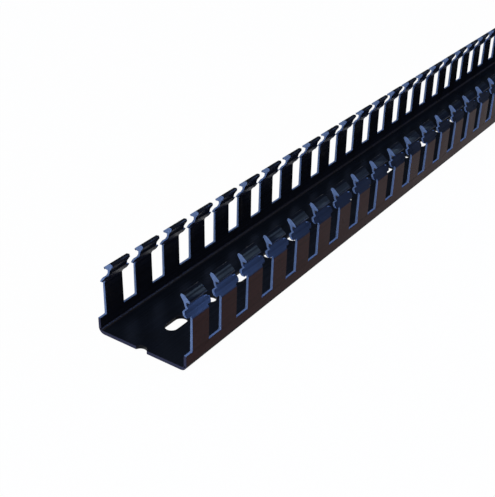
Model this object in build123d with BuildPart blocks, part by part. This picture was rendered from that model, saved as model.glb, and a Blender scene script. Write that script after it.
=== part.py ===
from build123d import *
import os

# Slotted wire duct: one extruded plastic channel, lying on its base.
# X runs along the duct, Y across it, Z up from the underside of the base.
# The origin is the middle of the length, on the underside of the base.

# Overall sizes, in mm
LENGTH = 1000.0
WIDTH = 48.4
WALL = 1.4
WALL_TOP = 1.05
BASE = 1.8
CORNER_OUTER_R = 3.2
CORNER_INNER_R = 1.2

# Slots and fingers along the side walls
PITCH = 20.0
SLOT_W = 8.4
SLOT_BOTTOM = 8.0
SLOT_BOTTOM_R = 0.5
SLOT_COUNT = 51

# Lobes that widen each finger just above its bend
LOBE_OUT = 2.8
LOBE_LOW = 25.3
LOBE_HIGH = 28.2
LOBE_R = 1.4

# Fixing slots along the middle of the base, with a round hole between each two
FIX_PITCH = 50.0
FIX_LENGTH = 12.8
FIX_WIDTH = 6.2
FIX_COUNT = 20
FIX_SHIFT = -1.0
HOLE_COUNT = 21

# Section of one side wall, as distance from the middle plane and height.
# The wall is upright to the bend, leans in to the shoulder and ends in a
# barbed bead that holds a press-on cover.
HALF_W = WIDTH / 2
BEND = (HALF_W, 24.2)
SHOULDER = (21.4, 29.2)
NECK_LOW = (21.1, 29.6)
NECK_HIGH = (21.05, 31.0)
BARB_UNDER = (22.8, 31.15)
BARB_TIP = (23.2, 31.7)
BEAD_TOP_OUT = (20.1, 34.4)
BEAD_TOP_IN = (18.4, 34.7)
BEAD_IN = (18.1, 33.5)
NECK_IN_HIGH = (19.75, 31.0)
NECK_IN_LOW = (20.3, 29.0)
BEND_IN = (HALF_W - WALL_TOP, 24.2)
BARB_R = 0.45
BEAD_OUTER_R = 1.2
BEAD_INNER_R = 0.6

HALF_SECTION = [
    (0, 0),
    (HALF_W, 0),
    BEND,
    SHOULDER,
    NECK_LOW,
    NECK_HIGH,
    BARB_UNDER,
    BARB_TIP,
    BEAD_TOP_OUT,
    BEAD_TOP_IN,
    BEAD_IN,
    NECK_IN_HIGH,
    NECK_IN_LOW,
    BEND_IN,
    (HALF_W - WALL, BASE),
    (0, BASE),
]

# How far the slot outline runs above the fingers
CUT_TOP = 40.0

HALF_SLOT = [
    (0, SLOT_BOTTOM),
    (SLOT_W / 2, SLOT_BOTTOM),
    (SLOT_W / 2, LOBE_LOW),
    (SLOT_W / 2 - LOBE_OUT, LOBE_LOW),
    (SLOT_W / 2 - LOBE_OUT, LOBE_HIGH),
    (SLOT_W / 2, LOBE_HIGH),
    (SLOT_W / 2, CUT_TOP),
    (0, CUT_TOP),
]


def corners(sketch, *points):
    """The corners of a sketch that lie at the given points."""
    return [v for v in sketch.vertices() for x, y in points if (v.X - x) ** 2 + (v.Y - y) ** 2 < 1e-4]


# One side slot, seen from the side, with the lobes left standing
with BuildSketch() as slot:
    with BuildLine():
        Polyline(*HALF_SLOT, close=True)
    make_face()
    fillet(corners(slot.sketch_local, (SLOT_W / 2, SLOT_BOTTOM)), SLOT_BOTTOM_R)
    fillet(corners(slot.sketch_local, HALF_SLOT[3], HALF_SLOT[4]), LOBE_R)
    mirror(about=Plane.YZ)

with BuildPart() as duct:
    # The constant section, drawn for one side and mirrored
    with BuildSketch(Plane.YZ.offset(-LENGTH / 2)) as section:
        with BuildLine():
            Polyline(*HALF_SECTION, close=True)
        make_face()
        fillet(corners(section.sketch_local, (HALF_W, 0)), CORNER_OUTER_R)
        fillet(corners(section.sketch_local, (HALF_W - WALL, BASE)), CORNER_INNER_R)
        fillet(corners(section.sketch_local, BARB_TIP), BARB_R)
        fillet(corners(section.sketch_local, BEAD_TOP_OUT), BEAD_OUTER_R)
        fillet(corners(section.sketch_local, BEAD_TOP_IN), BEAD_INNER_R)
        mirror(about=Plane.YZ)
    extrude(amount=LENGTH)

    # Side slots through both walls
    with BuildSketch(Plane.XZ.offset(-WIDTH)):
        with GridLocations(PITCH, 1, SLOT_COUNT, 1):
            add(slot.sketch)
    extrude(amount=2 * WIDTH, mode=Mode.SUBTRACT)

    # Fixing slots and round holes through the base
    with BuildSketch():
        with Locations((FIX_SHIFT, 0)):
            with GridLocations(FIX_PITCH, 1, FIX_COUNT, 1):
                SlotOverall(FIX_LENGTH, FIX_WIDTH)
            with GridLocations(FIX_PITCH, 1, HOLE_COUNT, 1):
                Circle(FIX_WIDTH / 2)
    extrude(amount=BASE, mode=Mode.SUBTRACT)

os.makedirs("parts", exist_ok=True)
duct.part.label = "duct_channel"
export_step(duct.part, "parts/duct_channel.step")
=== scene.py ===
from math import radians
from typing import NamedTuple

import bmesh
import bpy
from bpy.props import FloatProperty, FloatVectorProperty, PointerProperty
from bpy.types import Operator, Panel, PropertyGroup
from mathutils import Matrix, Vector


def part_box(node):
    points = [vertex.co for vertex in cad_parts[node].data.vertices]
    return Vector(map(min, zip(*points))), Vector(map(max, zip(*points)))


bl_info = {
    "name": "Slotted Wire Duct",
    "version": (1, 0, 0),
    "blender": (4, 5, 0),
    "location": "View3D > Sidebar > Wire Duct",
    "description": "Finishes a slotted wire duct in black plastic and sets it on a plain studio stage",
    "category": "Object",
}

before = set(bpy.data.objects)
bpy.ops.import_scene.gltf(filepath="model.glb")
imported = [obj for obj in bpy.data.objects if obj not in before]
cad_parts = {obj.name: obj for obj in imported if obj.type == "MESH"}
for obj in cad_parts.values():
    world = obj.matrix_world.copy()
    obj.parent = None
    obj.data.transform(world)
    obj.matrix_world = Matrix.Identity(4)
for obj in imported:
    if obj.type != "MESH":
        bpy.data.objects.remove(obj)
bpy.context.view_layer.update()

# Half sizes and heights on the channel that the finish follows, in metres
HALF_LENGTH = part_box("duct_channel")[1].x
HALF_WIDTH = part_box("duct_channel")[1].y
CORNERS_BELOW = 0.0035
SLOT_BOTTOM = 0.008
LEDGES_BELOW = 0.030
BEADS_ABOVE = 0.0305

# Margins that keep rounding errors out of those places, in metres
SLOT_MARGIN = 0.0005
END_MARGIN = 0.0001
WALL_MARGIN = 0.00003

# Limits on one part of a face's normal, which tell the kinds of face apart
CUT_ACROSS = 0.2
SLANTED = 0.2
LEVEL = 0.05
UPRIGHT = 0.9
OVERHANGING = -0.3
CROWNING = 0.5

# Points nearer than this in metres are joined, and edges that turn by more are eased
JOIN_DISTANCE = 0.000002
SHARP_ANGLE = radians(30.0)

# How often each pattern changes in a metre, and how fine its detail is
LINE_DRIFT = 6.0
LINE_DETAIL = 2.0
CLOUD_SCALE = 60.0
CLOUD_DETAIL = 3.0
GRAIN_SCALE = 2600.0
GRAIN_DETAIL = 2.0

# Noise gathers round one half, so only the middle of it is spread out
NOISE_MIDDLE = (0.35, 0.65)
CLOUD_MIDDLE = (0.3, 0.7)

# Darkest and lightest shares of the colour in the die lines and in the torn grain
LINE_SHADES = (0.82, 1.2)
GRAIN_SHADES = (0.7, 1.3)

# How much smoother and rougher than its roughness the plastic gets
SMOOTHER = 0.05
ROUGHER = 0.06

# Strength of the reflections, where a pair is the range over the die lines
SHINE_MEAN = 0.045
SHINE_PLAIN = (0.032, 0.058)
SHINE_CROWN = (0.02, 0.10)
SHINE_BEAD = 0.012
SHINE_OUTER = 0.02
SHINE_PUNCHED = 0.25

# Finish of the floor, and the colour of the backdrop
FLOOR_ROUGHNESS = 0.9
FLOOR_SHINE = 0.1
FLOOR_GLOW = 1.0
WHITE = (1.0, 1.0, 1.0)

# Width of the camera's sensor in millimetres, and the reach of its view in metres
SENSOR_WIDTH = 36.0
VIEW_START = 0.01
VIEW_END = 100.0


class Lamp(NamedTuple):
    """A rectangular soft lamp, in metres and watts."""

    place: tuple
    width: float
    height: float
    power: float
    colour: tuple


# The lamps all look at a point just inside the near end
LAMP_AIM = (-0.45, 0.0, 0.02)
LAMPS = {
    "lamp_behind_camera": Lamp((-2.2, 0.5, 0.9), 1.6, 1.2, 30.0, (0.72, 0.82, 1.0)),
    "lamp_far_side": Lamp((0.392, -1.159, 0.351), 0.4, 0.3, 20.5, (0.19, 0.36, 1.0)),
    "lamp_high_side": Lamp((0.6, -0.88, 0.92), 0.6, 0.3, 5.4, (0.53, 0.75, 1.0)),
    "lamp_far_left": Lamp((0.61, 0.81, 0.90), 0.7, 0.7, 1.0, (0.42, 0.55, 1.0)),
    "lamp_overhead": Lamp((-1.0, -0.4, 2.0), 1.4, 1.4, 16.0, (0.85, 0.92, 1.0)),
}


class PlasticProperties(PropertyGroup):
    """Colours and surface sizes of the black plastic."""

    body_colour: FloatVectorProperty(
        name="Body colour",
        description="Colour of the extruded plastic",
        subtype="COLOR",
        size=3,
        min=0.0,
        max=1.0,
        default=(0.0052, 0.0060, 0.0085),
    )
    inner_colour: FloatVectorProperty(
        name="Inner wall colour",
        description="Colour of the upright inner faces of the two walls",
        subtype="COLOR",
        size=3,
        min=0.0,
        max=1.0,
        default=(0.0060, 0.0050, 0.0050),
    )
    # Painted warm bounce light under the leaning heads, and a painted lamp reflection along the two
    # inner corners
    painted_warm_light_colour: FloatVectorProperty(
        name="Hood colour",
        description="Warmer colour under the leaning heads and along the two inner corners",
        subtype="COLOR",
        size=3,
        min=0.0,
        max=1.0,
        default=(0.0170, 0.0125, 0.0120),
    )
    # Painted warm reflection on the outer faces of the two walls
    wall_reflection_colour: FloatVectorProperty(
        name="Wall colour",
        description="Warmer colour of the reflecting outer faces of the two walls",
        subtype="COLOR",
        size=3,
        min=0.0,
        max=1.0,
        default=(0.0245, 0.0064, 0.0042),
    )
    # The cut faces are paler, and the blue light of a lamp on them is painted into this colour
    punched_pale_and_blue_light_colour: FloatVectorProperty(
        name="Punched colour",
        description="Paler colour of the faces left by the punch between the fingers",
        subtype="COLOR",
        size=3,
        min=0.0,
        max=1.0,
        default=(0.122, 0.172, 0.295),
    )
    # The sawn ends are paler, and bluish light on them is painted into this colour
    sawn_pale_and_blue_light_colour: FloatVectorProperty(
        name="Sawn colour",
        description="Colour of the two sawn ends",
        subtype="COLOR",
        size=3,
        min=0.0,
        max=1.0,
        default=(0.034, 0.034, 0.062),
    )
    gloss_roughness: FloatProperty(
        name="Roughness",
        description="Roughness of the extruded faces",
        subtype="FACTOR",
        min=0.0,
        max=1.0,
        default=0.3,
    )
    punched_roughness: FloatProperty(
        name="Punched roughness",
        description="Roughness of the punched and sawn faces",
        subtype="FACTOR",
        min=0.0,
        max=1.0,
        default=0.55,
    )
    edge_width: FloatProperty(
        name="Edge width",
        description="Width of the small bevel that eases every sharp edge",
        subtype="DISTANCE",
        unit="LENGTH",
        min=0.0,
        max=0.0003,
        default=0.00014,
    )
    line_width: FloatProperty(
        name="Die line width",
        description="Spacing of the fine lines that run along the extrusion",
        subtype="DISTANCE",
        unit="LENGTH",
        min=0.00005,
        max=0.01,
        default=0.0006,
    )
    line_depth: FloatProperty(
        name="Die line depth",
        description="Depth of the fine lines that run along the extrusion",
        subtype="DISTANCE",
        unit="LENGTH",
        min=0.0,
        max=0.001,
        default=0.00003,
    )


class StageProperties(PropertyGroup):
    """Floor, surrounding light and camera."""

    floor_size: FloatProperty(
        name="Floor size",
        description="Side of the square floor",
        subtype="DISTANCE",
        unit="LENGTH",
        min=1.0,
        default=200.0,
    )
    floor_colour: FloatVectorProperty(
        name="Floor colour",
        description="Colour of the pale floor",
        subtype="COLOR",
        size=3,
        min=0.0,
        max=1.0,
        default=(0.9, 0.9, 0.9),
    )
    floor_white: FloatProperty(
        name="Floor whiteness",
        description="Share of the floor that shows as plain white whatever falls on it",
        subtype="FACTOR",
        min=0.0,
        max=1.0,
        default=0.98,
    )
    floor_gap: FloatProperty(
        name="Floor gap",
        description="Small gap that keeps the floor clear of the flat underside",
        subtype="DISTANCE",
        unit="LENGTH",
        min=0.0,
        default=0.0001,
    )
    sky_colour: FloatVectorProperty(
        name="Sky colour",
        description="Colour of the dim light from all round",
        subtype="COLOR",
        size=3,
        min=0.0,
        max=1.0,
        default=(0.7, 0.85, 1.0),
    )
    sky_strength: FloatProperty(
        name="Sky strength",
        description="Strength of the dim light from all round",
        min=0.0,
        default=0.12,
    )
    camera_place: FloatVectorProperty(
        name="Camera place",
        description="Where the camera stands",
        subtype="TRANSLATION",
        unit="LENGTH",
        size=3,
        default=(-0.74909, -0.21986, 0.24213),
    )
    camera_turn: FloatVectorProperty(
        name="Camera turn",
        description="How the camera is turned",
        subtype="EULER",
        unit="ROTATION",
        size=3,
        default=(radians(60.031), radians(-1.363), radians(-55.391)),
    )
    camera_lens: FloatProperty(
        name="Lens",
        description="Focal length of the camera",
        subtype="DISTANCE_CAMERA",
        min=1.0,
        default=69.035,
    )


def link(tree, source, target):
    """Join two sockets of a node tree."""
    tree.links.new(source, target)


def feed(tree, socket, value):
    """Give a socket its value, which is another socket, a number or a colour."""
    if isinstance(value, bpy.types.NodeSocket):
        link(tree, value, socket)
    elif socket.type == "RGBA":
        socket.default_value = (*value, 1.0)
    else:
        socket.default_value = value


def math_node(tree, operation, *values):
    """A math node on one or two values, each a socket or a number."""
    node = tree.nodes.new("ShaderNodeMath")
    node.operation = operation
    for socket, value in zip(node.inputs, values):
        feed(tree, socket, value)
    return node.outputs[0]


def unsigned(tree, value):
    """The size of a number, whatever its sign."""
    return math_node(tree, "ABSOLUTE", value)


def over(tree, value, limit):
    """A mask that is one where the value is over the limit."""
    return math_node(tree, "GREATER_THAN", value, limit)


def under(tree, value, limit):
    """A mask that is one where the value is under the limit."""
    return math_node(tree, "LESS_THAN", value, limit)


def both(tree, first, second):
    """A mask that is one where both masks are one."""
    return math_node(tree, "MULTIPLY", first, second)


def either(tree, first, second):
    """A mask that is one where either mask is one."""
    return math_node(tree, "MAXIMUM", first, second)


def parts_of(tree, vector):
    """The X, Y and Z parts of a vector."""
    node = tree.nodes.new("ShaderNodeSeparateXYZ")
    link(tree, vector, node.inputs[0])
    return node.outputs


def noise(tree, vector, scale, detail):
    """A noise texture on the given coordinates."""
    node = tree.nodes.new("ShaderNodeTexNoise")
    node.inputs["Scale"].default_value = scale
    node.inputs["Detail"].default_value = detail
    link(tree, vector, node.inputs["Vector"])
    return node.outputs["Fac"]


def spread(tree, value, low, high, middle=NOISE_MIDDLE):
    """Spread the middle of a noise from a low to a high value."""
    node = tree.nodes.new("ShaderNodeMapRange")
    ends = {"From Min": middle[0], "From Max": middle[1], "To Min": low, "To Max": high}
    for name, end in ends.items():
        node.inputs[name].default_value = end
    link(tree, value, node.inputs["Value"])
    return node.outputs["Result"]


def mix(tree, kind, factor, a, b):
    """Mix two values of a kind, FLOAT or RGBA."""
    node = tree.nodes.new("ShaderNodeMix")
    node.data_type = kind
    socket_type = "VALUE" if kind == "FLOAT" else kind
    ends = [socket for socket in node.inputs if socket.type == socket_type and socket.name in ("A", "B")]
    link(tree, factor, node.inputs["Factor"])
    for socket, value in zip(ends, (a, b)):
        feed(tree, socket, value)
    return next(socket for socket in node.outputs if socket.type == socket_type)


def mix_colour(tree, factor, a, b):
    """Mix two colours, each a socket or three numbers."""
    return mix(tree, "RGBA", factor, a, b)


def mix_value(tree, factor, a, b):
    """Mix two numbers, each a socket or a number."""
    return mix(tree, "FLOAT", factor, a, b)


def mix_shader(tree, factor, a, b):
    """Mix two shaders."""
    node = tree.nodes.new("ShaderNodeMixShader")
    for socket, value in zip(node.inputs, (factor, a, b)):
        link(tree, value, socket)
    return node.outputs[0]


def new_material(name):
    """An empty node material with its Principled shader."""
    material = bpy.data.materials.new(name)
    material.use_nodes = True
    tree = material.node_tree
    return material, tree, tree.nodes["Principled BSDF"]


def cut_masks(tree, normal, place):
    """Masks of the faces left by the punch and of the sawn ends."""
    across = over(tree, unsigned(tree, normal["X"]), CUT_ACROSS)
    at_end = over(tree, unsigned(tree, place["X"]), HALF_LENGTH - END_MARGIN)
    sawn = both(tree, across, at_end)

    # The punch also leaves the slot bottoms, and the lobes' undersides and tops
    level = under(tree, unsigned(tree, normal["Y"]), LEVEL)
    ledge = both(tree, level, under(tree, place["Z"], LEDGES_BELOW))
    above_base = over(tree, place["Z"], SLOT_BOTTOM - SLOT_MARGIN)
    in_slots = both(tree, above_base, math_node(tree, "SUBTRACT", 1.0, sawn))
    punched = both(tree, either(tree, across, ledge), in_slots)
    return punched, sawn


def wall_masks(tree, normal, place):
    """Masks of the outer faces of the walls and of all upright faces along the duct."""
    outer = over(tree, unsigned(tree, place["Y"]), HALF_WIDTH - WALL_MARGIN)
    upright = over(tree, unsigned(tree, normal["Y"]), UPRIGHT)
    return outer, upright


def inner_masks(tree, normal, place):
    """Masks of the inner faces where warm light is painted, and of the inner faces and the tops of the
    beads.
    """
    inwards = under(tree, math_node(tree, "MULTIPLY", normal["Y"], place["Y"]), 0.0)
    hood = both(tree, inwards, under(tree, normal["Z"], OVERHANGING))
    high = over(tree, place["Z"], BEADS_ABOVE)
    bead = both(tree, hood, high)
    crown = both(tree, high, over(tree, normal["Z"], CROWNING))

    # The rounded corners between the base and the two walls, where a lamp's reflection is painted
    slanted = both(tree, over(tree, unsigned(tree, normal["Y"]), SLANTED), inwards)
    low = both(tree, under(tree, place["Z"], CORNERS_BELOW), over(tree, normal["Z"], SLANTED))
    corner = both(tree, slanted, low)
    # Warm bounce light is painted under the heads, and a lamp's reflection along the inner corners
    painted_warm_light = either(tree, math_node(tree, "SUBTRACT", hood, bead), corner)
    return painted_warm_light, bead, crown


def black_plastic(sizes):
    """Satin black plastic with die lines along it, paler where the punch has been, and with light
    painted on the cut faces, under the heads, in the inner corners and on the outer walls.
    """
    material, tree, shader = new_material("Black duct plastic")
    coordinates = tree.nodes.new("ShaderNodeTexCoord").outputs["Object"]
    place = parts_of(tree, coordinates)
    normal = parts_of(tree, tree.nodes.new("ShaderNodeNewGeometry").outputs["True Normal"])
    punched, sawn = cut_masks(tree, normal, place)
    outer, upright = wall_masks(tree, normal, place)
    painted_warm_light, bead, crown = inner_masks(tree, normal, place)
    cut = either(tree, punched, sawn)

    # Die lines run along the extrusion, so their pattern is stretched along X
    stretch = tree.nodes.new("ShaderNodeMapping")
    stretch.inputs["Scale"].default_value = (LINE_DRIFT, 1.0 / sizes.line_width, 1.0 / sizes.line_width)
    link(tree, coordinates, stretch.inputs["Vector"])
    lines = noise(tree, stretch.outputs["Vector"], 1.0, LINE_DETAIL)

    # Slow changes of gloss, and the grain that the punch tears up
    clouds = noise(tree, coordinates, CLOUD_SCALE, CLOUD_DETAIL)
    grain = noise(tree, coordinates, GRAIN_SCALE, GRAIN_DETAIL)

    plain = mix_colour(tree, upright, sizes.body_colour, sizes.inner_colour)
    # Painted warm light under the heads and in the inner corners
    inside = mix_colour(tree, painted_warm_light, plain, sizes.painted_warm_light_colour)
    # Painted warm reflection on the outer faces of the walls
    body = mix_colour(tree, outer, inside, sizes.wall_reflection_colour)
    streaked = tree.nodes.new("ShaderNodeVectorMath")
    streaked.operation = "SCALE"
    link(tree, body, streaked.inputs[0])
    link(tree, spread(tree, lines, *LINE_SHADES), streaked.inputs["Scale"])
    # The punched faces are paler, and a lamp's blue light is painted into their colour
    dark, light = ([part * shade for part in sizes.punched_pale_and_blue_light_colour] for shade in GRAIN_SHADES)
    torn = mix_colour(tree, spread(tree, grain, 0.0, 1.0), dark, light)
    colour = mix_colour(tree, punched, streaked.outputs[0], torn)
    # The sawn ends are paler, and bluish light is painted into their colour
    colour = mix_colour(tree, sawn, colour, sizes.sawn_pale_and_blue_light_colour)
    link(tree, colour, shader.inputs["Base Color"])

    smoothest = sizes.gloss_roughness - SMOOTHER
    roughest = sizes.gloss_roughness + ROUGHER
    satin = spread(tree, clouds, smoothest, roughest, CLOUD_MIDDLE)
    link(tree, mix_value(tree, cut, satin, sizes.punched_roughness), shader.inputs["Roughness"])

    # The mean strength is what an export keeps, because it drops the varying one
    shine = spread(tree, lines, *SHINE_PLAIN)
    shine = mix_value(tree, crown, shine, spread(tree, lines, *SHINE_CROWN))
    shine = mix_value(tree, bead, shine, SHINE_BEAD)
    shine = mix_value(tree, outer, shine, SHINE_OUTER)
    shine = mix_value(tree, punched, shine, SHINE_PUNCHED)
    shader.inputs["Specular IOR Level"].default_value = SHINE_MEAN
    link(tree, shine, shader.inputs["Specular IOR Level"])

    bump = tree.nodes.new("ShaderNodeBump")
    bump.inputs["Strength"].default_value = 1.0
    bump.inputs["Distance"].default_value = sizes.line_depth
    link(tree, mix_value(tree, cut, lines, grain), bump.inputs["Height"])
    link(tree, bump.outputs["Normal"], shader.inputs["Normal"])
    return material


def pale_floor(colour, whiteness):
    """Pale floor that shows near white, keeps a faint shadow and is clear from below."""
    material, tree, shader = new_material("Pale floor")
    feed(tree, shader.inputs["Base Color"], colour)
    feed(tree, shader.inputs["Roughness"], FLOOR_ROUGHNESS)
    feed(tree, shader.inputs["Specular IOR Level"], FLOOR_SHINE)
    glow = tree.nodes.new("ShaderNodeEmission")
    feed(tree, glow.inputs["Strength"], FLOOR_GLOW)
    path = tree.nodes.new("ShaderNodeLightPath").outputs
    direct = either(tree, path["Is Camera Ray"], path["Is Glossy Ray"])
    seen = either(tree, direct, path["Is Transmission Ray"])
    share = math_node(tree, "MULTIPLY", seen, whiteness)
    top = mix_shader(tree, share, shader.outputs[0], glow.outputs[0])
    clear = tree.nodes.new("ShaderNodeBsdfTransparent")
    from_below = tree.nodes.new("ShaderNodeNewGeometry").outputs["Backfacing"]
    surface = mix_shader(tree, from_below, top, clear.outputs[0])
    link(tree, surface, tree.nodes["Material Output"].inputs["Surface"])
    return material


def studio_world(colour, strength):
    """Dim light from all round, which the camera sees as a white backdrop.

    The plastic still mirrors the dim light, so its black stays black.
    """
    world = bpy.data.worlds.new("Studio")
    world.use_nodes = True
    tree = world.node_tree
    soft = tree.nodes["Background"]
    feed(tree, soft.inputs["Color"], colour)
    feed(tree, soft.inputs["Strength"], strength)
    white = tree.nodes.new("ShaderNodeBackground")
    feed(tree, white.inputs["Color"], WHITE)
    path = tree.nodes.new("ShaderNodeLightPath").outputs
    seen = either(tree, path["Is Camera Ray"], path["Is Transmission Ray"])
    backdrop = mix_shader(tree, seen, soft.outputs[0], white.outputs[0])
    link(tree, backdrop, tree.nodes["World Output"].inputs["Surface"])
    return world


def soft_box(name, lamp):
    """A rectangular soft lamp in its place, turned to the near end."""
    light = bpy.data.lights.new(name, "AREA")
    light.shape = "RECTANGLE"
    light.size = lamp.width
    light.size_y = lamp.height
    light.energy = lamp.power
    light.color = lamp.colour
    box = bpy.data.objects.new(name, light)
    box.location = lamp.place
    box.rotation_euler = (Vector(LAMP_AIM) - Vector(lamp.place)).to_track_quat("-Z", "Y").to_euler()
    return box


def floor_mesh(size, gap):
    """A square that lies a small gap below the underside of the duct."""
    shape = bmesh.new()
    below = Matrix.Translation((0.0, 0.0, -gap))
    bmesh.ops.create_grid(shape, x_segments=1, y_segments=1, size=size / 2, matrix=below)
    mesh = bpy.data.meshes.new("floor")
    shape.to_mesh(mesh)
    shape.free()
    return mesh


def viewer(sizes):
    """The camera, in its place and turned to the duct."""
    camera = bpy.data.cameras.new("camera")
    camera.sensor_width = SENSOR_WIDTH
    camera.lens = sizes.camera_lens
    camera.clip_start = VIEW_START
    camera.clip_end = VIEW_END
    stand = bpy.data.objects.new("camera", camera)
    stand.location = sizes.camera_place
    stand.rotation_euler = sizes.camera_turn
    return stand


class DUCT_OT_finish_channel(Operator):
    """Give the channel its black plastic"""

    bl_idname = "duct.finish_channel"
    bl_label = "Finish channel"

    def execute(self, context):
        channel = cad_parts["duct_channel"]
        sizes = context.scene.duct_plastic
        channel.data.materials.clear()
        channel.data.materials.append(black_plastic(sizes))

        # The faces of the mesh are loose, so they are joined before the edges are eased
        joined = channel.modifiers.new("Join faces", "WELD")
        joined.merge_threshold = JOIN_DISTANCE
        eased = channel.modifiers.new("Ease edges", "BEVEL")
        eased.limit_method = "ANGLE"
        eased.angle_limit = SHARP_ANGLE
        eased.width = sizes.edge_width
        eased.segments = 1
        eased.use_clamp_overlap = False
        eased.harden_normals = True
        return {"FINISHED"}


class DUCT_OT_build_stage(Operator):
    """Build the floor, the lights and the camera"""

    bl_idname = "duct.build_stage"
    bl_label = "Build stage"

    def execute(self, context):
        scene = context.scene
        sizes = scene.duct_stage
        floor = bpy.data.objects.new("floor", floor_mesh(sizes.floor_size, sizes.floor_gap))
        floor.data.materials.append(pale_floor(sizes.floor_colour, sizes.floor_white))
        scene.collection.objects.link(floor)

        scene.world = studio_world(sizes.sky_colour, sizes.sky_strength)
        for name, lamp in LAMPS.items():
            scene.collection.objects.link(soft_box(name, lamp))

        camera = viewer(sizes)
        scene.collection.objects.link(camera)
        scene.camera = camera
        scene.view_settings.view_transform = "Standard"
        return {"FINISHED"}


class DUCT_PT_panel(Panel):
    """Sizes, colours and steps of the wire duct"""

    bl_idname = "DUCT_PT_panel"
    bl_label = "Wire Duct"
    bl_space_type = "VIEW_3D"
    bl_region_type = "UI"
    bl_category = "Wire Duct"

    def draw(self, context):
        layout = self.layout
        for group in (context.scene.duct_plastic, context.scene.duct_stage):
            column = layout.column()
            for name in group.__annotations__:
                column.prop(group, name)
        for operator in (DUCT_OT_finish_channel, DUCT_OT_build_stage):
            layout.operator(operator.bl_idname)


CLASSES = (
    PlasticProperties,
    StageProperties,
    DUCT_OT_finish_channel,
    DUCT_OT_build_stage,
    DUCT_PT_panel,
)


def register():
    for cls in CLASSES:
        bpy.utils.register_class(cls)
    bpy.types.Scene.duct_plastic = PointerProperty(type=PlasticProperties)
    bpy.types.Scene.duct_stage = PointerProperty(type=StageProperties)


def unregister():
    del bpy.types.Scene.duct_stage
    del bpy.types.Scene.duct_plastic
    for cls in reversed(CLASSES):
        bpy.utils.unregister_class(cls)


def main():
    register()
    bpy.ops.duct.finish_channel()
    bpy.ops.duct.build_stage()


if __name__ == "__main__":
    main()
